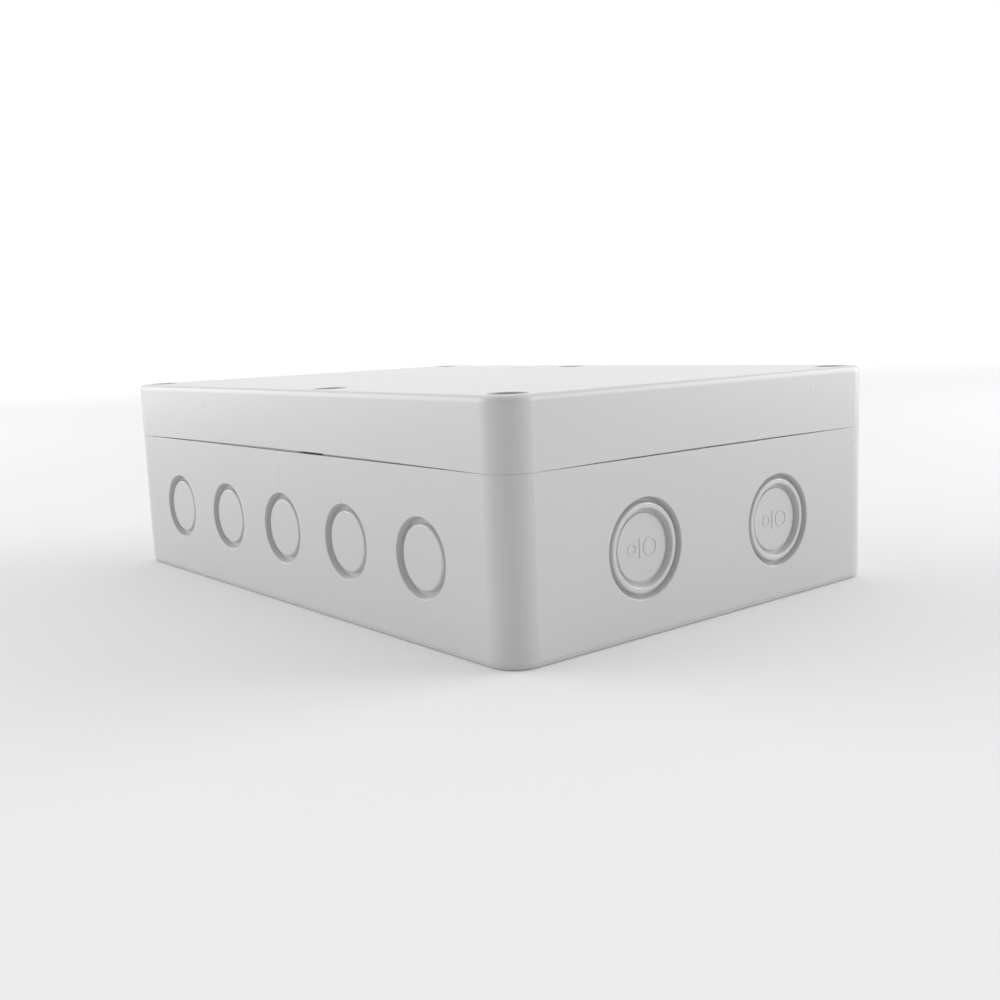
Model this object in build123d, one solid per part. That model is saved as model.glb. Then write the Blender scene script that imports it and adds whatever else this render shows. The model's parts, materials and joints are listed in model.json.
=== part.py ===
from build123d import *

# Whole house surge protector: a moulded plastic enclosure with a screwed lid, and the surge board inside.
# Frame: X along the long sides, Y along the short sides, Z up from the mounting face towards the lid.
# The origin is the centre of the mounting face. Units are millimetres.

import os
from math import radians, tan

# ---- enclosure ----
LENGTH = 200.0
WIDTH = 137.0
HEIGHT = 61.0
LID_HEIGHT = 17.2
PARTING_Z = HEIGHT - LID_HEIGHT
CORNER_R = 8.0
EDGE_R = 1.6
FOOT_HEIGHT = 1.3  # over this height the base's lower edge leans in
FOOT_DEPTH = 0.5  # by this depth, down to the mounting face
FOOT_R = 0.4
WALL = 3.2
FLOOR = 3.2
TOP = 3.2
BEYOND = 1.0  # how far a cutter runs past the face that it cuts
ROOT = 0.5  # how far a post or a rib reaches into the wall that it grows from

# ---- joint between the lid and the base ----
CORNER_GAP = 0.05  # at the corners the lid's rim stands this far above the base's rim
LONG_ARCH = 0.6  # and at the middle of a long side this much further
SHORT_ARCH = 0.35  # and at the middle of a short side this much further
RIM_Z = PARTING_Z + CORNER_GAP
SEAL_INSET = 1.2
SEAL_WIDTH = 1.0
SEAL_PLAY = 0.2
SEAL_CORNER_R = 1.5
TONGUE_H = 2.5
GASKET_H = 1.4
GASKET_GAP = 0.05
GASKET_Z = PARTING_Z + TONGUE_H + GASKET_GAP

# ---- cable entries: thinned rings that break out to a hole ----
ENTRY_Z = 21.8
LONG_PITCH = 33.5
LONG_ENTRIES_X = [LONG_PITCH * i for i in (-2, -1, 0, 1, 2)]
SHORT_PITCH = 51.2
SHORT_ENTRIES_Y = [-SHORT_PITCH / 2, SHORT_PITCH / 2]
GROOVE_DEPTH = 2.0
GROOVE_OUTER_SLOPE = 12.0
GROOVE_INNER_SLOPE = 12.0
# each ring: outer radius, inner radius, depth of the face inside it, radius of that face's edge
SINGLE_RINGS = [(10.05, 8.1, 0.65, 0.5)]
DOUBLE_RINGS = [(12.5, 11.0, 0.45, 0.35), (9.75, 8.4, 1.45, 0.3)]
LIP_R = 0.3
ENTRY_OVERCUT = 0.02  # the cutter stands this far off the wall outside its rings

# ---- raised mark for two hole sizes, on the double entries ----
MARK_RELIEF = 0.12
MARK_LINE = 0.4
MARK_SMALL_R = 1.5
MARK_SMALL_X = -3.4
MARK_LARGE_R = 2.3
MARK_LARGE_X = 2.8
MARK_BAR_X = -0.75
MARK_BAR_H = 5.0

# ---- lid screws ----
SCREW_INSET = 8.0
CORNER_X = LENGTH / 2 - SCREW_INSET
SCREW_Y = WIDTH / 2 - SCREW_INSET
MIDDLE_X = LONG_PITCH / 2  # the middle screws stand between two cable entries
SCREW_PLACES = [
    (CORNER_X, -SCREW_Y),
    (CORNER_X, SCREW_Y),
    (-CORNER_X, SCREW_Y),
    (-CORNER_X, -SCREW_Y),
    (MIDDLE_X, -SCREW_Y),
    (-MIDDLE_X, SCREW_Y),
]
NOTCH_R = 5.2  # the seal passes this far from a screw's axis
PILLAR_R = 7.2  # and the solid plastic around it reaches this far
RECESS_R = 5.0
RECESS_LIP = 0.12
RECESS_Z = HEIGHT - 8.0
HEAD_SHELF = 1.6
SCREW_R = 2.0
THREAD_DEPTH = 0.45
THREAD_PITCH = 1.4
CORE_R = SCREW_R - THREAD_DEPTH
SCREW_TRAVEL = 4 * THREAD_PITCH  # four turns free the lid
SCREW_HOLE_R = 2.2
HEAD_R = 4.0
HEAD_H = 2.8
HEAD_DOME = [(1.4, 0.0), (0.35, 0.6), (0.0, 1.4)]  # in from the head's side, down from its top
HEAD_CROSS = (4.6, 0.9, 1.6)  # length, width and depth of a cross slot
THREAD_TOP = PARTING_Z - 0.2
THREAD_CREST = (0.45, 0.6)  # where a ridge's crest starts and ends, as parts of the pitch
TIP_Z = PARTING_Z - SCREW_TRAVEL + 0.2  # when the screw is fully out, its tip is just above the base's rim
PILOT_R = SCREW_R + 0.05
PILOT_DEPTH = 12.0
RETAINER_R = 3.3
RETAINER_BORE_R = RETAINER_R + 0.2
RETAINER_HOLE_R = CORE_R + 0.05
RETAINER_T = 1.0
RETAINER_Z = RIM_Z + 0.1

# ---- wall mounting ----
MOUNT_X = 78.0
MOUNT_Y = 52.0
MOUNT_HOLE_R = 2.4
MOUNT_BOSS_R = 6.0
MOUNT_BOSS_H = 2.4
MOUNT_HEAD_R = 4.4
MOUNT_SEAT = 1.6

# ---- circuit board ----
BOARD_L = 144.0
BOARD_W = 86.0
BOARD_T = 1.6
BOARD_CORNER_R = 2.5
BOARD_Z = FLOOR + 8.0
BOARD_TOP = BOARD_Z + BOARD_T
BOARD_HOLE_X = 66.0
BOARD_HOLE_Y = 37.5
POST_R = 4.0
BOARD_HOLE_R = 1.7
BOARD_SCREW_R = 1.5
BOARD_SCREW_PLAY = 0.05
BOARD_SCREW_HEAD_R = 2.9
BOARD_SCREW_HEAD_H = 1.9
BOARD_SCREW_BEVEL = (1.0, 0.9)  # in from the head's side, down from its top
BOARD_SCREW_CROSS = (3.2, 0.7, 1.1)
BOARD_SCREW_TIP_Z = FLOOR + 1.6
BOARD_SCREW_POINT = 0.8

# ---- terminal block; its heights are above the board ----
POLES = ["l1", "l2", "l3", "n", "pe"]
POLE_PITCH = 13.0
POLE_X = [POLE_PITCH * (i - (len(POLES) - 1) / 2) for i in range(len(POLES))]
BLOCK_Y = -30.0
BLOCK_DEPTH = 22.0
BLOCK_H = 24.5
BLOCK_END = 2.0
BLOCK_CHAMFER = 2.0
CLAMP_PITCH = 0.7
CLAMP_TRAVEL = 7 * CLAMP_PITCH  # seven turns close the clamp
CAGE_W = 8.6
CAGE_D = 8.0
CAGE_SIDE = 1.1
CAGE_Z = 3.0
CAGE_H = 12.0
CAGE_FLOOR = 1.5
CAGE_NUT = 2.0
CHAMBER_W = CAGE_W + 0.6
CHAMBER_D = 13.0
CHAMBER_Z = CAGE_Z - 0.4
CHAMBER_TOP = CAGE_Z + CAGE_H + CLAMP_TRAVEL + 0.1
SHELF_TOP = CHAMBER_TOP + 1.2
MOUTH_W = 8.0
MOUTH_Z = CAGE_Z + CAGE_FLOOR - 0.5
BAR_W = 6.0
BAR_T = 1.6
BAR_L = 10.8
BAR_Z = CAGE_Z + CAGE_FLOOR + CLAMP_TRAVEL + 0.1
BAR_PIN_W = 3.0
BAR_PIN_T = 1.2
BAR_REAR = BLOCK_Y + CHAMBER_D / 2 - 0.3
MOUTH_TOP = BAR_Z + BAR_T + 0.6
CLAMP_R = 1.94
CLAMP_PLAY = 0.06
CLAMP_HOLE_R = CLAMP_R + 0.2
CLAMP_POINT = 0.6
CLAMP_HEAD_R = 3.3
CLAMP_HEAD_H = 2.2
CLAMP_HEAD_Z = SHELF_TOP + 0.05
CLAMP_HEAD_BEVEL = 0.5
CLAMP_TIP_Z = BAR_Z + BAR_T + 0.1
DRIVE_SLOT_W = 1.0
DRIVE_SLOT_DEPTH = 1.2
HEAD_BORE_R = CLAMP_HEAD_R + 0.3
SLOT_W = 1.0
SLOT_DEPTH = 5.0

# ---- parts on the board ----
COLUMN_X = [-45.0, 0.0, 45.0]  # one column for each phase
VARISTOR_R = 17.0
VARISTOR_T = 7.0
VARISTOR_EDGE_R = 2.4
VARISTOR_LIFT = 3.0
VARISTOR_Z = BOARD_TOP + VARISTOR_LIFT + VARISTOR_R
VARISTOR_ROWS = [4.0, 16.0]
LEAD_R = 0.6
LEAD_SPREAD = 7.5
LEAD_TOP = VARISTOR_Z - (VARISTOR_R**2 - LEAD_SPREAD**2) ** 0.5 + 1.5
THERMAL_Y = 10.0
THERMAL_R = 2.0
THERMAL_L = 11.0
THERMAL_Z = BOARD_TOP + 4.0
FUSE_Y = -10.0
FUSE_R = 3.2
FUSE_L = 30.0
FUSE_CAP_L = 6.0
FUSE_CAP_T = 0.3
FUSE_FOOT = (2.0, 4.8)
FUSE_Z = BOARD_TOP + 4.2
CAPACITOR_Y = 33.5
CAPACITOR_SIZE = (26.0, 9.0, 18.0)
CASE_EDGE_R = 0.6
TUBE_X = 53.0
TUBE_Y = -28.0
TUBE_R = 4.0
TUBE_BODY_R = 3.7
TUBE_L = 8.0
TUBE_END_T = 1.2
TUBE_PIN_R = 0.5
TUBE_Z = BOARD_TOP + TUBE_R + 0.6
LED_X = [-58.0, -50.0, -42.0]
LED_Y = -36.0
LED_R = 1.5
LED_H = 4.6
LED_RIM = 0.4
LED_RIM_H = 1.0
RESISTOR_Y = -24.0
RESISTOR_R = 1.2
RESISTOR_L = 6.4
RESISTOR_Z = BOARD_TOP + RESISTOR_R + 0.4
WIRE_R = 0.35
WIRE_REACH = 1.8
WIRE_BEND_R = 0.7


def block(low, high):
    """A box from its lowest corner to its highest."""
    size = [b - a for a, b in zip(low, high)]
    centre = [(a + b) / 2 for a, b in zip(low, high)]
    return Pos(*centre) * Box(*size)


def upright(x, y, low, high, radius):
    """A cylinder along Z between two heights."""
    return Pos(x, y, (low + high) / 2) * Cylinder(radius, high - low)


def lying(x, y, z, radius, length, along="x"):
    """A cylinder along X or Y, centred at a point."""
    turn = Rot(0, 90, 0) if along == "x" else Rot(90, 0, 0)
    return Pos(x, y, z) * turn * Cylinder(radius, length)


def turned(points):
    """A solid of revolution about Z from its outline of (radius, height) points."""
    outline = make_face(Polyline(*[(r, 0, z) for r, z in points], close=True))
    return revolve(outline, Axis.Z)


def raised(plan, low, high):
    """A plan drawn on XY, extruded between two heights."""
    return Pos(0, 0, low) * extrude(plan, high - low)


def four_corners(x, y):
    return [(sx * x, sy * y) for sx in (-1, 1) for sy in (-1, 1)]


def outer_plan(inset=0.0):
    return RectangleRounded(LENGTH - 2 * inset, WIDTH - 2 * inset, CORNER_R - inset)


def pocket_plan(x, y, radius):
    """What surrounds one lid screw: a disc joined to the nearest outside walls."""
    side = 1 if y > 0 else -1
    reach = WIDTH / 2 - abs(y)
    mid_y = side * (abs(y) + reach / 2)
    plan = Pos(x, y) * Circle(radius)
    plan += Pos(x, mid_y) * Rectangle(2 * radius, reach)
    if abs(x) == CORNER_X:
        mid_x = (1 if x > 0 else -1) * (abs(x) + reach / 2)
        plan += Pos(mid_x, y) * Rectangle(reach, 2 * radius)
        plan += Pos(mid_x, mid_y) * Rectangle(reach, reach)
    return plan


def pockets(radius):
    plan = pocket_plan(*SCREW_PLACES[0], radius)
    for place in SCREW_PLACES[1:]:
        plan += pocket_plan(*place, radius)
    return plan


def seal_plan():
    """The sealed area, on XY: it fills the rim's outline but passes inside every lid screw."""
    slab = extrude(outer_plan(SEAL_INSET) - pockets(NOTCH_R), SEAL_WIDTH)
    slab = fillet(slab.edges().filter_by(Axis.Z), SEAL_CORNER_R)
    return Pos(0, 0, -SEAL_WIDTH) * slab.faces().sort_by(Axis.Z)[-1]


def seal_ring(outside, inside, low, high):
    """A ring on the seal's path, from one offset outside it to one inside it."""
    plan = seal_plan()
    return raised(offset(plan, outside) - offset(plan, -inside), low, high)


def entry_cutter(rings):
    """What one cable entry takes out of the wall, drawn about +Z, which points out of the wall."""
    first = rings[0][0]
    points = [(0, BEYOND), (first + BEYOND, BEYOND), (first + BEYOND, ENTRY_OVERCUT)]
    edges = []
    outside = -ENTRY_OVERCUT
    for outer, inner, face_depth, edge_r in rings:
        edges += [(outer, -outside, LIP_R), (inner, -face_depth, edge_r)]
        points += [
            (outer, -outside),
            (outer - GROOVE_DEPTH * tan(radians(GROOVE_OUTER_SLOPE)), -GROOVE_DEPTH),
            (inner + (GROOVE_DEPTH - face_depth) * tan(radians(GROOVE_INNER_SLOPE)), -GROOVE_DEPTH),
            (inner, -face_depth),
        ]
        outside = face_depth
    points.append((0, -outside))
    face = make_face(Polyline(*points, close=True))
    for r, z, edge_r in edges:
        corner = face.vertices().sort_by_distance((r, z, 0))[0]
        face = fillet(corner, edge_r)
    return revolve(Plane.XZ * face, Axis.Z)


def size_mark():
    """A raised sign for two hole sizes: a small ring and a large ring with a bar between them."""
    small = Pos(MARK_SMALL_X, 0) * (Circle(MARK_SMALL_R) - Circle(MARK_SMALL_R - MARK_LINE))
    large = Pos(MARK_LARGE_X, 0) * (Circle(MARK_LARGE_R) - Circle(MARK_LARGE_R - MARK_LINE))
    bar = Pos(MARK_BAR_X, 0) * Rectangle(MARK_LINE, MARK_BAR_H)
    return extrude(small + large + bar, MARK_RELIEF)


def on_wall(side, along, shape):
    """Turns a shape drawn about +Z so that +Z points out of a side wall, at a cable entry."""
    spots = {
        "front": ((along, -WIDTH / 2, ENTRY_Z), (0, -1, 0)),
        "back": ((along, WIDTH / 2, ENTRY_Z), (0, 1, 0)),
        "right": ((LENGTH / 2, along, ENTRY_Z), (1, 0, 0)),
        "left": ((-LENGTH / 2, along, ENTRY_Z), (-1, 0, 0)),
    }
    spot, normal = spots[side]
    across = Vector(0, 0, 1).cross(Vector(*normal))
    return Plane(origin=spot, x_dir=across, z_dir=normal).location * shape


def cut_entries(body):
    single = entry_cutter(SINGLE_RINGS)
    double = entry_cutter(DOUBLE_RINGS)
    mark = Pos(0, 0, -DOUBLE_RINGS[-1][2]) * size_mark()
    for side in ("front", "back"):
        for along in LONG_ENTRIES_X:
            body -= on_wall(side, along, single)
    for side in ("left", "right"):
        for along in SHORT_ENTRIES_Y:
            body -= on_wall(side, along, double)
            body += on_wall(side, along, mark)
    return body


def enclosure_base():
    body = raised(outer_plan(), 0, PARTING_Z)
    under = body.faces().sort_by(Axis.Z)[0]
    body = chamfer(under.edges(), FOOT_DEPTH, FOOT_HEIGHT, reference=under)
    body = fillet(body.faces().sort_by(Axis.Z)[0].edges(), FOOT_R)
    body -= raised(outer_plan(WALL) - pockets(PILLAR_R), FLOOR, PARTING_Z + BEYOND)
    body += seal_ring(0, SEAL_WIDTH, PARTING_Z - ROOT, PARTING_Z + TONGUE_H)
    for x, y in four_corners(BOARD_HOLE_X, BOARD_HOLE_Y):
        body += upright(x, y, FLOOR - ROOT, BOARD_Z, POST_R)
        body -= upright(x, y, FLOOR + BEYOND, BOARD_Z + BEYOND, BOARD_SCREW_R)
    boss_top = FLOOR + MOUNT_BOSS_H
    for x, y in four_corners(MOUNT_X, MOUNT_Y):
        body += upright(x, y, FLOOR - ROOT, boss_top, MOUNT_BOSS_R)
        body -= upright(x, y, boss_top - MOUNT_SEAT, boss_top + BEYOND, MOUNT_HEAD_R)
        body -= upright(x, y, -BEYOND, boss_top, MOUNT_HOLE_R)
    for x, y in SCREW_PLACES:
        body -= upright(x, y, PARTING_Z - PILOT_DEPTH, PARTING_Z + BEYOND, PILOT_R)
    return cut_entries(body)


def rim_arch(span, rise, across, turn):
    """The shallow arch by which the lid's rim stands off the base between two corners."""
    ends = (-span / 2, RIM_Z), (span / 2, RIM_Z)
    bow = ThreePointArc(ends[0], (0, RIM_Z + rise), ends[1])
    segment = Plane.XZ * make_face([Line(*ends), bow])
    return turn * extrude(segment, across / 2 + BEYOND, both=True)


def enclosure_lid():
    body = raised(outer_plan(), RIM_Z, HEIGHT)
    body = fillet(body.faces().sort_by(Axis.Z)[-1].edges(), EDGE_R)
    body -= raised(outer_plan(WALL) - pockets(PILLAR_R), RIM_Z - BEYOND, HEIGHT - TOP)
    body -= seal_ring(SEAL_PLAY, SEAL_WIDTH + SEAL_PLAY, RIM_Z - BEYOND, GASKET_Z + GASKET_H)
    body -= rim_arch(LENGTH - 2 * CORNER_R, LONG_ARCH, WIDTH, Rot(0, 0, 0))
    body -= rim_arch(WIDTH - 2 * CORNER_R, SHORT_ARCH, LENGTH, Rot(0, 0, 90))
    recess = turned(
        [
            (0, HEIGHT + BEYOND),
            (RECESS_R + RECESS_LIP + BEYOND, HEIGHT + BEYOND),
            (RECESS_R, HEIGHT - RECESS_LIP),
            (RECESS_R, RECESS_Z),
            (0, RECESS_Z),
        ]
    )
    for x, y in SCREW_PLACES:
        body -= Pos(x, y) * recess
        body -= upright(x, y, RECESS_Z - HEAD_SHELF - BEYOND, RECESS_Z + BEYOND, SCREW_HOLE_R)
        body -= upright(x, y, RIM_Z - BEYOND, RECESS_Z - HEAD_SHELF, RETAINER_BORE_R)
    return body


def lid_gasket():
    return seal_ring(0, SEAL_WIDTH, GASKET_Z, GASKET_Z + GASKET_H)


def cross_slot(top, length, width, depth):
    slot = block((-length / 2, -width / 2, top - depth), (length / 2, width / 2, top + BEYOND))
    return slot + Rot(0, 0, 90) * slot


def lid_screw(x, y):
    """Captive lid screw: a domed head, a bare shank and a ridged end in place of the thread."""
    top = RECESS_Z + HEAD_H
    points = [(0, top)] + [(HEAD_R - inward, top - down) for inward, down in HEAD_DOME]
    points += [(HEAD_R, RECESS_Z), (CORE_R, RECESS_Z), (CORE_R, THREAD_TOP)]
    for ridge in range(int((THREAD_TOP - TIP_Z) / THREAD_PITCH)):
        z = THREAD_TOP - ridge * THREAD_PITCH
        points += [(SCREW_R, z - part * THREAD_PITCH) for part in THREAD_CREST]
        points.append((CORE_R, z - THREAD_PITCH))
    points += [(CORE_R / 2, TIP_Z), (0, TIP_Z)]
    return Pos(x, y) * (turned(points) - cross_slot(top, *HEAD_CROSS))


def screw_retainer(x, y):
    """Nylon washer that grips the screw above its thread and keeps it in the lid."""
    washer = upright(0, 0, RETAINER_Z, RETAINER_Z + RETAINER_T, RETAINER_R)
    washer -= upright(0, 0, RETAINER_Z - BEYOND, RETAINER_Z + RETAINER_T + BEYOND, RETAINER_HOLE_R)
    return Pos(x, y) * washer


def circuit_board():
    board = raised(RectangleRounded(BOARD_L, BOARD_W, BOARD_CORNER_R), BOARD_Z, BOARD_TOP)
    for x, y in four_corners(BOARD_HOLE_X, BOARD_HOLE_Y):
        board -= upright(x, y, BOARD_Z - BEYOND, BOARD_TOP + BEYOND, BOARD_HOLE_R)
    return board


def board_screws():
    """Four pan head screws that hold the board on its posts."""
    top = BOARD_TOP + BOARD_SCREW_HEAD_H
    shank = BOARD_SCREW_R - BOARD_SCREW_PLAY
    inward, down = BOARD_SCREW_BEVEL
    points = [(0, top), (BOARD_SCREW_HEAD_R - inward, top), (BOARD_SCREW_HEAD_R, top - down)]
    points += [(BOARD_SCREW_HEAD_R, BOARD_TOP), (shank, BOARD_TOP)]
    points += [(shank, BOARD_SCREW_TIP_Z + BOARD_SCREW_POINT), (0, BOARD_SCREW_TIP_Z)]
    screw = turned(points) - cross_slot(top, *BOARD_SCREW_CROSS)
    return Compound(children=[Pos(x, y) * screw for x, y in four_corners(BOARD_HOLE_X, BOARD_HOLE_Y)])


def terminal_block():
    half = POLE_PITCH * len(POLES) / 2 + BLOCK_END
    front = BLOCK_Y - BLOCK_DEPTH / 2
    rear = BLOCK_Y + BLOCK_DEPTH / 2
    top = BOARD_TOP + BLOCK_H
    body = block((-half, front, BOARD_TOP), (half, rear, top))
    body = chamfer(body.faces().sort_by(Axis.Z)[-1].edges().filter_by(Axis.X), BLOCK_CHAMFER)
    chamber = block(
        (-CHAMBER_W / 2, BLOCK_Y - CHAMBER_D / 2, BOARD_TOP + CHAMBER_Z),
        (CHAMBER_W / 2, BLOCK_Y + CHAMBER_D / 2, BOARD_TOP + CHAMBER_TOP),
    )
    mouth = block(
        (-MOUTH_W / 2, front - BEYOND, BOARD_TOP + MOUTH_Z), (MOUTH_W / 2, BLOCK_Y, BOARD_TOP + MOUTH_TOP)
    )
    for x in POLE_X:
        body -= Pos(x, 0) * chamber
        body -= Pos(x, 0) * mouth
        body -= upright(x, BLOCK_Y, BOARD_TOP + CHAMBER_TOP - BEYOND, BOARD_TOP + SHELF_TOP, CLAMP_HOLE_R)
        body -= upright(x, BLOCK_Y, BOARD_TOP + SHELF_TOP, top + BEYOND, HEAD_BORE_R)
    slot = block((-SLOT_W / 2, front - BEYOND, top - SLOT_DEPTH), (SLOT_W / 2, rear + BEYOND, top + BEYOND))
    for left, right in zip(POLE_X, POLE_X[1:]):
        body -= Pos((left + right) / 2, 0) * slot
    return body


def contact_bars():
    """Fixed copper bars, one through each clamp, with a pin down to the board."""
    low = BOARD_TOP + BAR_Z
    bar = block((-BAR_W / 2, BAR_REAR - BAR_L, low), (BAR_W / 2, BAR_REAR, low + BAR_T))
    bar += block(
        (-BAR_PIN_W / 2, BAR_REAR - BAR_PIN_T, BOARD_TOP + CHAMBER_Z), (BAR_PIN_W / 2, BAR_REAR, low + BAR_T)
    )
    return Compound(children=[Pos(x, 0) * bar for x in POLE_X])


def terminal_screw(x):
    under = BOARD_TOP + CLAMP_HEAD_Z
    top = under + CLAMP_HEAD_H
    tip = BOARD_TOP + CLAMP_TIP_Z
    points = [(0, top), (CLAMP_HEAD_R - CLAMP_HEAD_BEVEL, top), (CLAMP_HEAD_R, top - CLAMP_HEAD_BEVEL)]
    points += [(CLAMP_HEAD_R, under), (CLAMP_R, under)]
    points += [(CLAMP_R, tip + CLAMP_POINT), (CLAMP_R - CLAMP_POINT, tip), (0, tip)]
    reach = CLAMP_HEAD_R + BEYOND
    half = DRIVE_SLOT_W / 2
    slot = block((-reach, -half, top - DRIVE_SLOT_DEPTH), (reach, half, top + BEYOND))
    return Pos(x, BLOCK_Y) * (turned(points) - slot)


def clamp_cage(x):
    """Rising clamp that the terminal screw pulls up towards the contact bar."""
    low = BOARD_TOP + CAGE_Z
    high = low + CAGE_H
    inner = CAGE_W / 2 - CAGE_SIDE
    cage = block((-CAGE_W / 2, -CAGE_D / 2, low), (CAGE_W / 2, CAGE_D / 2, high))
    cage -= block((-inner, -CAGE_D, low + CAGE_FLOOR), (inner, CAGE_D, high - CAGE_NUT))
    cage -= upright(0, 0, high - CAGE_NUT - BEYOND, high + BEYOND, CLAMP_R + CLAMP_PLAY)
    return Pos(x, BLOCK_Y) * cage


def varistor_leads():
    leads = []
    for x in COLUMN_X:
        for y in VARISTOR_ROWS:
            for side in (-1, 1):
                leads.append(upright(x + side * LEAD_SPREAD, y, BOARD_TOP, LEAD_TOP, LEAD_R))
    return Compound(children=leads)


def varistor(x, y):
    """Coated zinc oxide disc standing on its two leads."""
    disc = lying(0, 0, VARISTOR_Z, VARISTOR_R, VARISTOR_T, "y")
    disc = fillet(disc.edges().filter_by(GeomType.CIRCLE), VARISTOR_EDGE_R)
    for side in (-1, 1):
        disc -= upright(side * LEAD_SPREAD, 0, BOARD_TOP, LEAD_TOP, LEAD_R)
    return Pos(x, y) * disc


def bent_leg(x, y, z, body_length, along, side):
    """One wire leg of a part that lies on its side: out of its end, round a bend and down."""
    start = side * body_length / 2
    end = start + side * WIRE_REACH
    path = FilletPolyline((start, 0, z), (end, 0, z), (end, 0, BOARD_TOP), radius=WIRE_BEND_R)
    leg = sweep(Plane(origin=(start, 0, z), z_dir=(side, 0, 0)) * Circle(WIRE_R), path)
    turn = Rot(0, 0, 0) if along == "x" else Rot(0, 0, 90)
    return Pos(x, y) * turn * leg


def small_leads():
    """Legs of the thermal fuses and of the resistors."""
    legs = []
    for side in (-1, 1):
        for x in COLUMN_X:
            legs.append(bent_leg(x, THERMAL_Y, THERMAL_Z, THERMAL_L, "x", side))
        for x in LED_X:
            legs.append(bent_leg(x, RESISTOR_Y, RESISTOR_Z, RESISTOR_L, "y", side))
    return Compound(children=legs)


def thermal_fuse(x):
    body = lying(x, THERMAL_Y, THERMAL_Z, THERMAL_R, THERMAL_L)
    return fillet(body.edges().filter_by(GeomType.CIRCLE), CASE_EDGE_R)


def resistors():
    bodies = [lying(x, RESISTOR_Y, RESISTOR_Z, RESISTOR_R, RESISTOR_L, "y") for x in LED_X]
    return Compound(children=bodies)


def surge_fuse(x):
    """Ceramic body of a tube fuse; its caps are separate."""
    return lying(x, FUSE_Y, FUSE_Z, FUSE_R, FUSE_L - 2 * FUSE_CAP_L)


def fuse_caps():
    """Metal end caps of the surge fuses, each with a foot on the board."""
    caps = []
    foot_x, foot_y = FUSE_FOOT
    for x in COLUMN_X:
        for side in (-1, 1):
            centre = x + side * (FUSE_L - FUSE_CAP_L) / 2
            cap = lying(centre, FUSE_Y, FUSE_Z, FUSE_R + FUSE_CAP_T, FUSE_CAP_L)
            cap += block(
                (centre - foot_x / 2, FUSE_Y - foot_y / 2, BOARD_TOP),
                (centre + foot_x / 2, FUSE_Y + foot_y / 2, FUSE_Z),
            )
            caps.append(cap)
    return Compound(children=caps)


def gas_tube():
    """Ceramic gas discharge tube between neutral and earth; its end caps are separate."""
    return lying(TUBE_X, TUBE_Y, TUBE_Z, TUBE_BODY_R, TUBE_L - 2 * TUBE_END_T)


def gas_tube_ends():
    ends = []
    for side in (-1, 1):
        centre = TUBE_X + side * (TUBE_L - TUBE_END_T) / 2
        end = lying(centre, TUBE_Y, TUBE_Z, TUBE_R, TUBE_END_T)
        end += upright(centre, TUBE_Y, BOARD_TOP, TUBE_Z, TUBE_PIN_R)
        ends.append(end)
    return Compound(children=ends)


def film_capacitor(x):
    length, width, height = CAPACITOR_SIZE
    low = (x - length / 2, CAPACITOR_Y - width / 2, BOARD_TOP)
    high = (x + length / 2, CAPACITOR_Y + width / 2, BOARD_TOP + height)
    return fillet(block(low, high).edges(), CASE_EDGE_R)


def status_led(x):
    dome = BOARD_TOP + LED_H - LED_R
    lens = upright(x, LED_Y, BOARD_TOP, dome, LED_R)
    lens += Pos(x, LED_Y, dome) * Sphere(LED_R)
    return lens + upright(x, LED_Y, BOARD_TOP, BOARD_TOP + LED_RIM_H, LED_R + LED_RIM)


def all_parts():
    parts = {
        "enclosure_base": enclosure_base(),
        "enclosure_lid": enclosure_lid(),
        "lid_gasket": lid_gasket(),
        "circuit_board": circuit_board(),
        "board_screws": board_screws(),
        "terminal_block": terminal_block(),
        "contact_bars": contact_bars(),
        "varistor_leads": varistor_leads(),
        "small_leads": small_leads(),
        "resistors": resistors(),
        "fuse_caps": fuse_caps(),
        "gas_tube": gas_tube(),
        "gas_tube_ends": gas_tube_ends(),
    }
    for number, place in enumerate(SCREW_PLACES, 1):
        parts[f"lid_screw_{number}"] = lid_screw(*place)
        parts[f"screw_retainer_{number}"] = screw_retainer(*place)
    for pole, x in zip(POLES, POLE_X):
        parts[f"terminal_screw_{pole}"] = terminal_screw(x)
        parts[f"clamp_cage_{pole}"] = clamp_cage(x)
    for number, (x, y) in enumerate([(x, y) for x in COLUMN_X for y in VARISTOR_ROWS], 1):
        parts[f"varistor_{number}"] = varistor(x, y)
    for number, x in enumerate(COLUMN_X, 1):
        parts[f"thermal_fuse_{number}"] = thermal_fuse(x)
        parts[f"surge_fuse_{number}"] = surge_fuse(x)
        parts[f"film_capacitor_{number}"] = film_capacitor(x)
    for number, x in enumerate(LED_X, 1):
        parts[f"status_led_{number}"] = status_led(x)
    return parts


os.makedirs("parts", exist_ok=True)
for name, shape in all_parts().items():
    export_step(shape, f"parts/{name}.step")
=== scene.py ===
import json
import math

import bmesh
import bpy
from mathutils import Matrix, Vector


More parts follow.
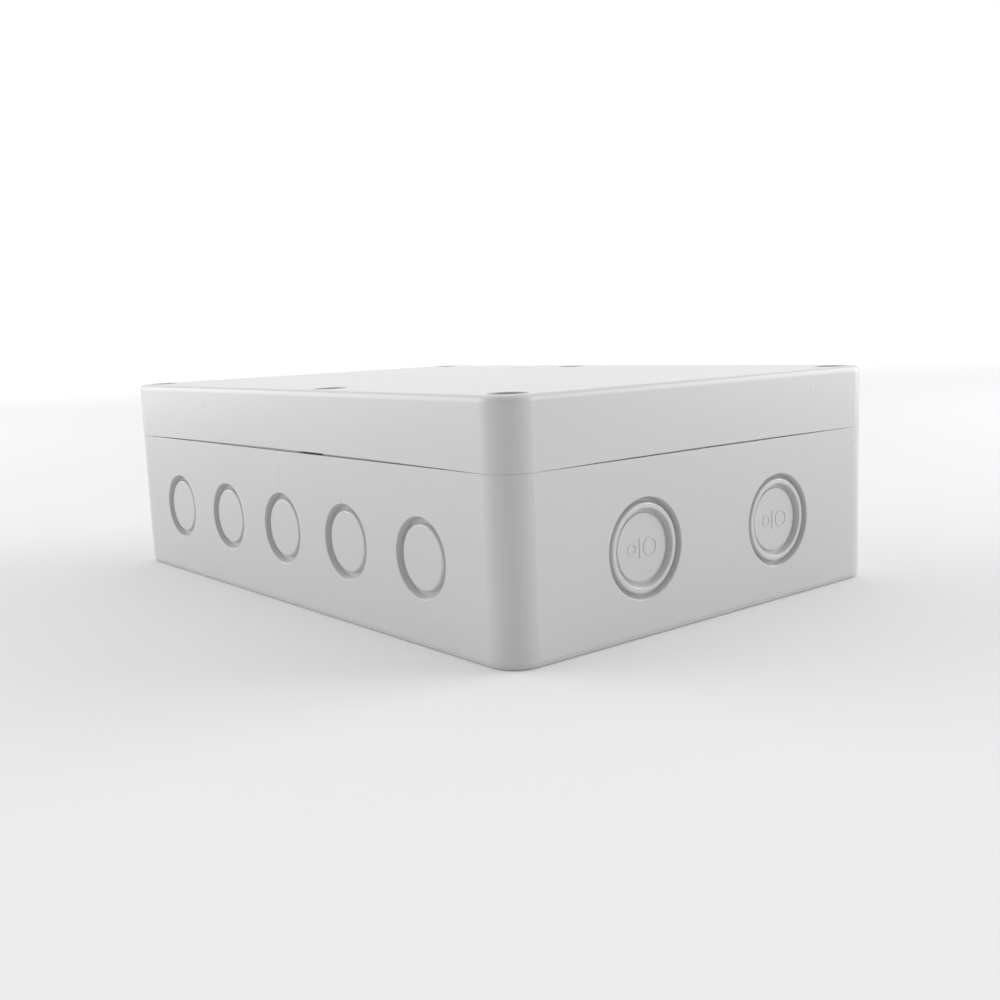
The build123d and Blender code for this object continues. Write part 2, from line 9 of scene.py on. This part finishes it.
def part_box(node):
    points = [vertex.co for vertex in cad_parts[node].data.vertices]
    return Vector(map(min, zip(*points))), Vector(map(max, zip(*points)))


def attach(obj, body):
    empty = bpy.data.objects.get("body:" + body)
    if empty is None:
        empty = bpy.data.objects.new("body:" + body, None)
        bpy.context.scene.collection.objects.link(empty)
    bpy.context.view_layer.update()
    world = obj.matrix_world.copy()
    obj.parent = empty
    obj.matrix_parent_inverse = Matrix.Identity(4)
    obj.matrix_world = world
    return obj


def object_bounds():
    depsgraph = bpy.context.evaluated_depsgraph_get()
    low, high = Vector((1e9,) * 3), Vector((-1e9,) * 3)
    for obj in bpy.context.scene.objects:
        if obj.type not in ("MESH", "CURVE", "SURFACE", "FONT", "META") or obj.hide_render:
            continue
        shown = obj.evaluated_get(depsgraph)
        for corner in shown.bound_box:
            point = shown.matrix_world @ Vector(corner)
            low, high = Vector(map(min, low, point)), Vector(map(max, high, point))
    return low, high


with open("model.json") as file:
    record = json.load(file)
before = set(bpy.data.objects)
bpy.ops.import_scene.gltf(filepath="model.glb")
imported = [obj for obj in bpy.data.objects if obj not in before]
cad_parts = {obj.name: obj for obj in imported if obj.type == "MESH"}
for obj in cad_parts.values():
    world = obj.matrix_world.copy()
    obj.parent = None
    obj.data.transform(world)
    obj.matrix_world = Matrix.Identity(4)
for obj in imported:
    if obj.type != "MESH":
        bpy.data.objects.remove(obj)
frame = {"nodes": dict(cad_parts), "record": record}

CAD_LOW, CAD_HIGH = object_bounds()
CENTRE = (Vector(CAD_LOW) + Vector(CAD_HIGH)) / 2
MM = 0.001

# ---------------------------------------------------------------- camera
CAMERA_AT = Vector((0.28563, -0.221895, 0.074719))
CAMERA_HEADING = math.radians(50.755)
CAMERA_DIP = math.radians(8.458)
CAMERA_ROLL = math.radians(-2.22)
CAMERA_LENS = 41.03
CAMERA_BEARING = CAMERA_HEADING - math.radians(90)  # where the camera stands, seen from the object
SENSOR_WIDTH = 36.0
CLIP_START = 0.01
CLIP_END = 100.0


def add_camera():
    data = bpy.data.cameras.new("camera")
    data.sensor_width = SENSOR_WIDTH
    data.lens = CAMERA_LENS
    data.clip_start = CLIP_START
    data.clip_end = CLIP_END
    camera = bpy.data.objects.new("camera", data)
    bpy.context.scene.collection.objects.link(camera)
    turn = Matrix.Rotation(CAMERA_HEADING, 4, "Z")
    turn = turn @ Matrix.Rotation(math.radians(90) - CAMERA_DIP, 4, "X")
    turn = turn @ Matrix.Rotation(CAMERA_ROLL, 4, "Z")
    camera.matrix_world = Matrix.Translation(CAMERA_AT) @ turn
    bpy.context.scene.camera = camera


# ---------------------------------------------------------------- node helpers
class Nodes:
    """Builds one material's node tree in few words."""

    def __init__(self, name):
        self.material = bpy.data.materials.new(name)
        self.material.use_nodes = True
        self.tree = self.material.node_tree
        self.shader = self.tree.nodes["Principled BSDF"]
        self.place = self.add("ShaderNodeTexCoord").outputs["Object"]

    def add(self, kind, **settings):
        node = self.tree.nodes.new(kind)
        for key, value in settings.items():
            setattr(node, key, value)
        return node

    def join(self, source, target):
        self.tree.links.new(source, target)

    def noise(self, scale, detail=3.0):
        node = self.add("ShaderNodeTexNoise")
        node.inputs["Scale"].default_value = scale
        node.inputs["Detail"].default_value = detail
        self.join(self.place, node.inputs["Vector"])
        return node.outputs["Fac"]

    def ranged(self, source, low, high, to_low, to_high):
        """The source's span from low to high, spread from to_low to to_high and held at its ends."""
        node = self.add("ShaderNodeMapRange")
        for name, value in zip(("From Min", "From Max", "To Min", "To Max"), (low, high, to_low, to_high)):
            node.inputs[name].default_value = value
        self.join(source, node.inputs["Value"])
        return node.outputs["Result"]

    def mixed(self, factor, first, second):
        node = self.add("ShaderNodeMix", data_type="RGBA")
        for socket, value in ((node.inputs[6], first), (node.inputs[7], second)):
            if isinstance(value, bpy.types.NodeSocket):
                self.join(value, socket)
            else:
                socket.default_value = (*value, 1.0)
        self.join(factor, node.inputs[0])
        return node.outputs[2]

    def bump(self, height, distance):
        """A relief of a given depth in metres."""
        node = self.add("ShaderNodeBump")
        node.inputs["Strength"].default_value = 1.0
        node.inputs["Distance"].default_value = distance
        self.join(height, node.inputs["Height"])
        self.join(node.outputs["Normal"], self.shader.inputs["Normal"])

    def gloss(self, source, smooth, rough):
        """Uneven gloss: the roughness wanders between two values."""
        self.join(self.ranged(source, *NOISE_SPAN, smooth, rough), self.shader.inputs["Roughness"])

    def set(self, **values):
        for name, value in values.items():
            self.shader.inputs[name.replace("_", " ")].default_value = value


def shade(colour, factor):
    return tuple(c * factor for c in colour)


# ---------------------------------------------------------------- materials
SHELL_GREY = (0.603, 0.598, 0.607)
SPECK_GREY = (0.30, 0.28, 0.26)
SPECK_STRENGTH = 0.55
SPECK_SPAN = (0.80, 0.83)  # only the noise's rare peaks make specks
SHELL_SPAN = (0.35, 0.65)
NOISE_SPAN = (0.3, 0.7)  # where most of a noise texture's values lie
RESISTOR_BODY = (0.62, 0.46, 0.26)
RESISTOR_RINGS = [  # where each ring starts along the body, and its colour
    (0.16, (0.35, 0.10, 0.02)),
    (0.36, (0.02, 0.02, 0.02)),
    (0.54, (0.55, 0.05, 0.03)),
    (0.76, (0.60, 0.42, 0.06)),
]
RESISTOR_RING_WIDTH = 0.08


def shell_plastic():
    """Light grey moulded plastic with a faint mottle, rare dark specks and a very fine relief."""
    n = Nodes("shell_plastic")
    broad = n.noise(9.0, 2.0)
    tint = n.mixed(n.ranged(broad, *SHELL_SPAN, 0, 1), shade(SHELL_GREY, 0.992), shade(SHELL_GREY, 1.008))
    speck = n.ranged(n.noise(260.0, 1.0), *SPECK_SPAN, 0, SPECK_STRENGTH)
    n.join(n.mixed(speck, tint, SPECK_GREY), n.shader.inputs["Base Color"])
    n.gloss(n.noise(12.0, 1.0), 0.26, 0.29)
    n.bump(n.noise(650.0, 0.0), 0.002 * MM)
    n.set(IOR=1.5)
    return n.material


def plain(name, colour, rough, grain, depth, metallic=0.0, spread=0.06, **more):
    """A moulded, dipped or plated surface: mottled colour, uneven gloss and a fine relief."""
    n = Nodes(name)
    mottle = n.ranged(n.noise(40.0), *NOISE_SPAN, 0, 1)
    tint = n.mixed(mottle, shade(colour, 1 - spread), shade(colour, 1 + spread))
    n.join(tint, n.shader.inputs["Base Color"])
    fine = n.noise(grain)
    n.gloss(fine, rough * 0.8, rough * 1.25)
    n.bump(fine, depth)
    n.set(Metallic=metallic, **more)
    return n.material


def banded_resistor(body_box):
    """Buff lacquer with coloured rings along the body."""
    low, high = body_box
    n = Nodes("resistor_lacquer")
    split = n.add("ShaderNodeSeparateXYZ")
    n.join(n.place, split.inputs[0])
    along = n.ranged(split.outputs["Y"], low.y, high.y, 0, 1)
    ramp = n.add("ShaderNodeValToRGB")
    ramp.color_ramp.interpolation = "CONSTANT"
    elements = ramp.color_ramp.elements
    elements[0].position = 0.0
    elements[0].color = (*RESISTOR_BODY, 1)
    elements[1].position = RESISTOR_RINGS[0][0]
    elements[1].color = (*RESISTOR_RINGS[0][1], 1)
    for number, (start, colour) in enumerate(RESISTOR_RINGS):
        if number:
            elements.new(start).color = (*colour, 1)
        elements.new(start + RESISTOR_RING_WIDTH).color = (*RESISTOR_BODY, 1)
    n.join(along, ramp.inputs[0])
    speckle = n.ranged(n.noise(700.0), *NOISE_SPAN, 0, 0.25)
    n.join(n.mixed(speckle, ramp.outputs[0], shade(RESISTOR_BODY, 0.6)), n.shader.inputs["Base Color"])
    n.gloss(n.noise(500.0), 0.22, 0.4)
    return n.material


def led_plastic():
    """Clear green plastic."""
    n = Nodes("led_plastic")
    n.join(n.mixed(n.noise(600.0), (0.10, 0.55, 0.14), (0.16, 0.70, 0.22)), n.shader.inputs["Base Color"])
    n.gloss(n.noise(900.0), 0.06, 0.14)
    n.set(Transmission_Weight=0.6, IOR=1.49)
    return n.material


def slot_materials():
    """One material for each slot; the numbers are roughness, grain in cycles a metre and depth of relief."""
    steel, yellow, white_tin = (0.62, 0.63, 0.65), (0.55, 0.46, 0.26), (0.74, 0.74, 0.74)
    tin, nickel, nylon = (0.70, 0.67, 0.62), (0.66, 0.63, 0.58), (0.78, 0.76, 0.68)
    black, green, covered = (0.018, 0.018, 0.020), (0.012, 0.110, 0.042), (0.030, 0.180, 0.070)
    dark, blue, cream = (0.030, 0.033, 0.036), (0.010, 0.050, 0.220), (0.68, 0.62, 0.46)
    ochre, ceramic = (0.58, 0.33, 0.03), (0.82, 0.80, 0.74)
    return {
        "shell": shell_plastic(),
        "gasket": plain("seal_rubber", black, 0.75, 900.0, 0.08 * MM, spread=0.2),
        "board": plain("solder_mask", green, 0.32, 1500.0, 0.01 * MM, spread=0.12),
        "zinc_steel": plain("bright_zinc", steel, 0.26, 1200.0, 0.01 * MM, metallic=1.0),
        "clamp_steel": plain("yellow_zinc", yellow, 0.32, 900.0, 0.02 * MM, metallic=1.0, spread=0.18),
        "tinned_copper": plain("tinned_copper", tin, 0.30, 900.0, 0.02 * MM, metallic=1.0),
        "tinned_wire": plain("tinned_wire", white_tin, 0.25, 1500.0, 0.01 * MM, metallic=1.0),
        "nickel_cap": plain("nickel_plate", nickel, 0.18, 1200.0, 0.01 * MM, metallic=1.0),
        "nylon": plain("natural_nylon", nylon, 0.45, 700.0, 0.02 * MM, Subsurface_Weight=0.1),
        "terminal_housing": plain("grey_polyamide", dark, 0.42, 800.0, 0.04 * MM, spread=0.15),
        "varistor_coat": plain("blue_epoxy_dip", blue, 0.20, 220.0, 0.12 * MM, spread=0.15),
        "thermal_case": plain("cream_case", cream, 0.38, 900.0, 0.02 * MM),
        "capacitor_case": plain("ochre_case", ochre, 0.30, 900.0, 0.03 * MM, spread=0.08),
        "resistor": banded_resistor(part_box("resistors")),
        "ceramic": plain("glazed_ceramic", ceramic, 0.22, 500.0, 0.02 * MM, spread=0.03),
        "led_lens": led_plastic(),
        "mask_over_copper": plain("mask_over_copper", covered, 0.30, 1500.0, 0.01 * MM, spread=0.1),
    }


def paint_cad_nodes(materials):
    slots = {s["node"]: s["material_slot"] for s in frame["record"]["subparts"]}
    for name, node in frame["nodes"].items():
        material = materials[slots[name]]
        if not node.material_slots:
            node.data.materials.append(material)
        for place in node.material_slots:
            place.material = material


# ---------------------------------------------------------------- solder and tracks on the board
BOARD_BODY = "base"
WELD = 1e-7  # vertices nearer than this are one vertex
CONTACT = 0.05 * MM  # how near the board's face a lead's foot has to be
SOLDER_SIDES = 20
SOLDER_PROFILE = [(1.0, 0.0), (0.72, 0.12), (0.52, 0.32), (0.40, 0.62), (0.36, 1.0)]  # radius, height
SOLDER_SLOPE = 0.9 / 1.45  # a joint's height as a part of its radius
VARISTOR_JOINT_R = 1.45 * MM
SMALL_JOINT_R = 0.9 * MM
TRACK_RISE = 0.08 * MM
TRACK_LIFT = 0.01 * MM
TRACK_END_STEPS = 10
FEED_WIDTH = 1.6 * MM
FEED_FIRST = 1.6 * MM  # from the terminal block to the nearest track that runs along it
FEED_PITCH = 2.2 * MM
FEED_UNDER = 1.0 * MM  # how far a track starts in under the terminal block
FUSE_REACH = 12 * MM  # from a fuse's middle to the middle of its feet
FUSE_SIDE = 3 * MM
LINK_WIDTH = 3.0 * MM


def islands(node):
    """(lowest corner, highest corner) of each separate solid in a CAD node."""
    work = bmesh.new()
    work.from_mesh(frame["nodes"][node].data)
    bmesh.ops.remove_doubles(work, verts=work.verts, dist=WELD)
    left = set(work.verts)
    boxes = []
    while left:
        stack = [left.pop()]
        found = []
        while stack:
            vert = stack.pop()
            found.append(vert.co.copy())
            for edge in vert.link_edges:
                other = edge.other_vert(vert)
                if other in left:
                    left.remove(other)
                    stack.append(other)
        low = Vector(min(c[i] for c in found) for i in range(3))
        high = Vector(max(c[i] for c in found) for i in range(3))
        boxes.append((low, high))
    work.free()
    return sorted(boxes, key=lambda b: (round(b[0].x, 4), round(b[0].y, 4)))


def feet(node):
    """Where each solid of a node meets the board: the middle of its vertices that touch the board's face."""
    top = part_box("circuit_board")[1].z
    spots = []
    for low, high in islands(node):
        near = [
            v.co
            for v in frame["nodes"][node].data.vertices
            if abs(v.co.z - top) < CONTACT and low.x <= v.co.x <= high.x and low.y <= v.co.y <= high.y
        ]
        spots.append([(min(c[i] for c in near) + max(c[i] for c in near)) / 2 for i in range(2)])
    return spots


def finish_piece(name, work, material):
    mesh = bpy.data.meshes.new(name)
    bmesh.ops.recalc_face_normals(work, faces=work.faces)
    work.to_mesh(mesh)
    work.free()
    for polygon in mesh.polygons:
        polygon.use_smooth = True
    mesh.materials.append(material)
    piece = bpy.data.objects.new(name, mesh)
    bpy.context.scene.collection.objects.link(piece)
    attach(piece, BOARD_BODY)
    return piece


def add_solder(materials):
    """A concave fillet of solder round each lead of the varistors, thermal fuses and resistors."""
    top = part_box("circuit_board")[1].z
    work = bmesh.new()
    spots = [(x, y, VARISTOR_JOINT_R) for x, y in feet("varistor_leads")]
    spots += [(x, y, SMALL_JOINT_R) for x, y in feet("small_leads")]
    turns = [2 * math.pi * step / SOLDER_SIDES for step in range(SOLDER_SIDES)]
    for x, y, radius in spots:
        rings = []
        for part, height in SOLDER_PROFILE:
            reach = part * radius
            z = top + height * radius * SOLDER_SLOPE
            circle = [(x + reach * math.cos(t), y + reach * math.sin(t), z) for t in turns]
            rings.append([work.verts.new(point) for point in circle])
        for lower, upper in zip(rings, rings[1:]):
            for step in range(SOLDER_SIDES):
                after = (step + 1) % SOLDER_SIDES
                work.faces.new((lower[step], lower[after], upper[after], upper[step]))
        work.faces.new(list(reversed(rings[0])))
        work.faces.new(rings[-1])
    finish_piece("solder_joints", work, materials["tinned_wire"])


def strip(work, start, end, width, low, high):
    """A flat bar with round ends between two points of the board."""
    heading = math.atan2(end[1] - start[1], end[0] - start[0])
    outline = []
    for (x, y), first in ((end, -90), (start, 90)):
        for step in range(TRACK_END_STEPS + 1):
            angle = heading + math.radians(first + 180 * step / TRACK_END_STEPS)
            outline.append((x + width / 2 * math.cos(angle), y + width / 2 * math.sin(angle)))
    lower = [work.verts.new((x, y, low)) for x, y in outline]
    upper = [work.verts.new((x, y, high)) for x, y in outline]
    work.faces.new(list(reversed(lower)))
    work.faces.new(upper)
    for number in range(len(outline)):
        after = (number + 1) % len(outline)
        work.faces.new((lower[number], lower[after], upper[after], upper[number]))


def middle(node):
    low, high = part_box(node)
    return (low + high) / 2


def add_tracks(materials):
    """Copper tracks under the solder mask: terminal to surge fuse, and surge fuse to thermal fuse."""
    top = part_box("circuit_board")[1].z
    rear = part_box("terminal_block")[1].y
    work = bmesh.new()
    low, high = top + TRACK_LIFT, top + TRACK_LIFT + TRACK_RISE
    for number, pole in enumerate(("l1", "l2", "l3"), 1):
        column, fuse_y, _ = middle(f"surge_fuse_{number}")
        start = middle(f"terminal_screw_{pole}").x
        turn_y = rear + FEED_FIRST + FEED_PITCH * (3 - number)
        left = column - FUSE_REACH
        route = [(start, rear - FEED_UNDER), (start, turn_y), (left, turn_y), (left, fuse_y - FUSE_SIDE)]
        for a, b in zip(route, route[1:]):
            strip(work, a, b, FEED_WIDTH, low, high)
        right = column + FUSE_REACH
        thermal_y = middle(f"thermal_fuse_{number}").y
        strip(work, (right, fuse_y + FUSE_SIDE), (right, thermal_y), LINK_WIDTH, low, high)
    piece = finish_piece("board_tracks", work, materials["mask_over_copper"])
    for polygon in piece.data.polygons:
        polygon.use_smooth = False


# ---------------------------------------------------------------- floor and light
FLOOR_GREY = (0.68, 0.68, 0.68)
FLOOR_DROP = 0.2 * MM  # keeps the floor clear of the object's underside
NEAR_GLOW = 0.10
FAR_GLOW = 1.02
FLOOR_HALF = 20.0
GLOW_START = 0.4
GLOW_FULL = 1.6
SOFTBOX_AWAY = 1.1
SOFTBOX_HEIGHT = 0.40
SOFTBOX_SIZE = (1.0, 0.9)
LEFT_TURN = -105
RIGHT_TURN = 101
POWERS = {"left_softbox": 6.4, "right_softbox": 8.5}
WORLD_GLOW = 1.02
WORLD_FRONT = 0.145  # the surround's strength on the camera's side, as a part of WORLD_GLOW


def add_floor():
    """A pale table that takes the object's soft shadow and glows more and more further out."""
    mesh = bpy.data.meshes.new("floor")
    corners = [(x * FLOOR_HALF, y * FLOOR_HALF, 0) for x, y in ((-1, -1), (1, -1), (1, 1), (-1, 1))]
    mesh.from_pydata(corners, [], [(0, 1, 2, 3)])
    floor = bpy.data.objects.new("floor", mesh)
    floor.location.z = CAD_LOW[2] - FLOOR_DROP
    bpy.context.scene.collection.objects.link(floor)
    n = Nodes("pale_floor")
    reach = n.add("ShaderNodeVectorMath", operation="LENGTH")
    n.join(n.place, reach.inputs[0])
    outside = n.ranged(reach.outputs["Value"], GLOW_START, GLOW_FULL, 0, 1)
    n.join(n.mixed(outside, FLOOR_GREY, (0, 0, 0)), n.shader.inputs["Base Color"])
    glow = n.ranged(reach.outputs["Value"], GLOW_START, GLOW_FULL, NEAR_GLOW, FAR_GLOW)
    n.join(glow, n.shader.inputs["Emission Strength"])
    n.gloss(n.noise(30.0), 0.85, 0.95)
    n.set(Emission_Color=(1, 1, 1, 1), Specular_IOR_Level=0.0)
    mesh.materials.append(n.material)


def add_softbox(name, at):
    data = bpy.data.lights.new(name, "AREA")
    data.shape = "RECTANGLE"
    data.size, data.size_y = SOFTBOX_SIZE
    data.energy = POWERS[name]
    lamp = bpy.data.objects.new(name, data)
    bpy.context.scene.collection.objects.link(lamp)
    aim = CENTRE - Vector(at)
    lamp.rotation_euler = aim.to_track_quat("-Z", "Y").to_euler()
    lamp.location = at


def softbox_place(turn_deg):
    """Where a softbox stands; it is turned counter-clockwise round the object from the camera's bearing."""
    bearing = CAMERA_BEARING + math.radians(turn_deg)
    x = CENTRE.x + SOFTBOX_AWAY * math.cos(bearing)
    y = CENTRE.y + SOFTBOX_AWAY * math.sin(bearing)
    return (x, y, SOFTBOX_HEIGHT)


def add_light():
    """A plain white surround, dimmer on the side that the camera stands on, and two softboxes."""
    world = bpy.data.worlds.new("studio")
    world.use_nodes = True
    tree = world.node_tree
    lighting = tree.nodes["Background"]
    lighting.inputs["Color"].default_value = (1, 1, 1, 1)
    place = tree.nodes.new("ShaderNodeTexCoord")
    facing = tree.nodes.new("ShaderNodeVectorMath")
    facing.operation = "DOT_PRODUCT"
    facing.inputs[1].default_value = (math.cos(CAMERA_BEARING), math.sin(CAMERA_BEARING), 0)
    tree.links.new(place.outputs["Generated"], facing.inputs[0])
    dimming = tree.nodes.new("ShaderNodeMapRange")
    dimming.inputs["To Min"].default_value = WORLD_GLOW
    dimming.inputs["To Max"].default_value = WORLD_GLOW * WORLD_FRONT
    tree.links.new(facing.outputs["Value"], dimming.inputs["Value"])
    tree.links.new(dimming.outputs["Result"], lighting.inputs["Strength"])
    seen = tree.nodes.new("ShaderNodeBackground")
    seen.inputs["Color"].default_value = (1, 1, 1, 1)
    ray = tree.nodes.new("ShaderNodeLightPath")
    mix = tree.nodes.new("ShaderNodeMixShader")
    tree.links.new(ray.outputs["Is Camera Ray"], mix.inputs[0])
    tree.links.new(lighting.outputs[0], mix.inputs[1])
    tree.links.new(seen.outputs[0], mix.inputs[2])
    tree.links.new(mix.outputs[0], tree.nodes["World Output"].inputs["Surface"])
    bpy.context.scene.world = world
    add_softbox("left_softbox", softbox_place(LEFT_TURN))
    add_softbox("right_softbox", softbox_place(RIGHT_TURN))


add_camera()
bpy.context.scene.view_settings.view_transform = "Standard"
materials = slot_materials()
paint_cad_nodes(materials)
add_solder(materials)
add_tracks(materials)
add_floor()
add_light()
